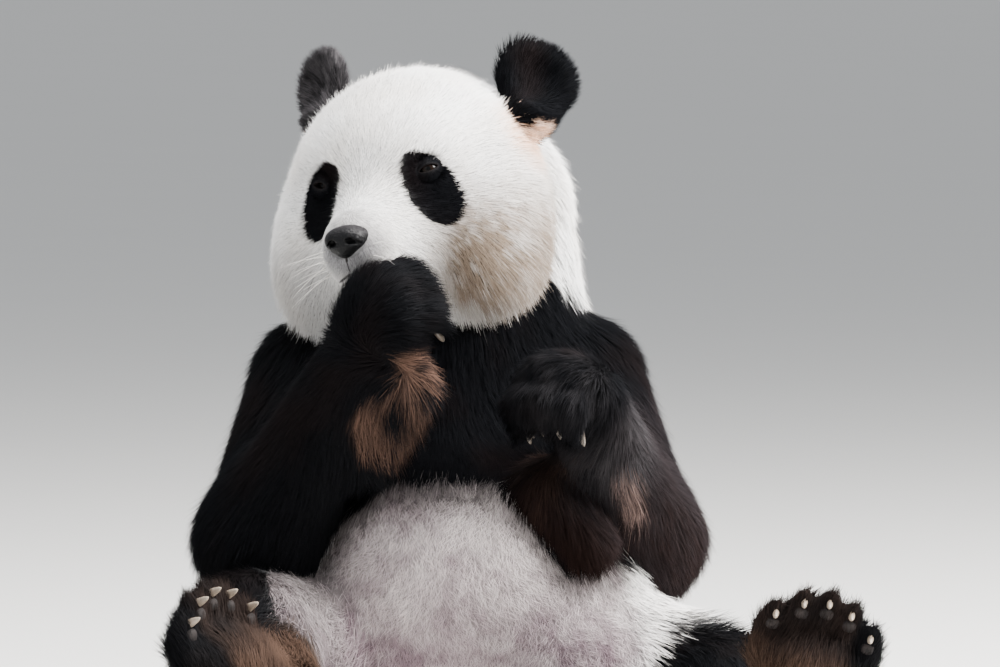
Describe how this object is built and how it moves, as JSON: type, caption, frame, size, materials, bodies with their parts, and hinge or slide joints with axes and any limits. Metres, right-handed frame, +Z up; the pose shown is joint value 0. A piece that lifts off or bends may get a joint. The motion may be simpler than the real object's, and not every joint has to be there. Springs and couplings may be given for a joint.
{
  "type": "giant panda",
  "caption": "Adult giant panda that sits upright with a bent back, head turned to its right and both forepaws raised to the mouth and chest, as a still life-size museum model.",
  "frame": {"origin": "middle of the footprint, on the floor the panda sits on", "axes": "+Z up, -Y the way the body faces, +X the panda's left side"},
  "size_m": [0.7722, 0.9136, 0.8199],
  "materials": {
    "coat_white": "dense soft fur, cream white, warmer at the ears and cheeks",
    "coat_black": "long soft fur, black with a blue tinge, brown at the wrists and elbows",
    "coat_belly": "short matted wool, lilac grey with darker mottles",
    "nose_skin": "moist bare black skin",
    "eye": "wet dark brown eye",
    "claw": "worn ivory horn, darker at the root"
  },
  "bodies": {
    "root": {"head": "coat_white", "muzzle": "coat_white", "lower_jaw": "coat_white", "nose": "nose_skin", "eye_right": "eye", "ear_right": "coat_black", "eye_left": "eye", "ear_left": "coat_black", "upper_arm_right": "coat_black", "forearm_right": "coat_black", "forepaw_right": "coat_black", "forepaw_right_claw_1": "claw", "forepaw_right_claw_2": "claw", "forepaw_right_claw_3": "claw", "forepaw_right_claw_4": "claw", "forepaw_right_claw_5": "claw", "upper_arm_left": "coat_black", "forearm_left": "coat_black", "forepaw_left": "coat_black", "forepaw_left_claw_1": "claw", "forepaw_left_claw_2": "claw", "forepaw_left_claw_3": "claw", "forepaw_left_claw_4": "claw", "forepaw_left_claw_5": "claw", "thigh_right": "coat_black", "shank_right": "coat_black", "hind_foot_right": "coat_black", "hind_foot_right_claw_1": "claw", "hind_foot_right_claw_2": "claw", "hind_foot_right_claw_3": "claw", "hind_foot_right_claw_4": "claw", "hind_foot_right_claw_5": "claw", "thigh_left": "coat_black", "shank_left": "coat_black", "hind_foot_left": "coat_black", "hind_foot_left_claw_1": "claw", "hind_foot_left_claw_2": "claw", "hind_foot_left_claw_3": "claw", "hind_foot_left_claw_4": "claw", "hind_foot_left_claw_5": "claw", "neck": "coat_white", "chest": "coat_black", "belly": "coat_belly", "rump": "coat_white", "tail": "coat_white"}
  },
  "joints": []
}
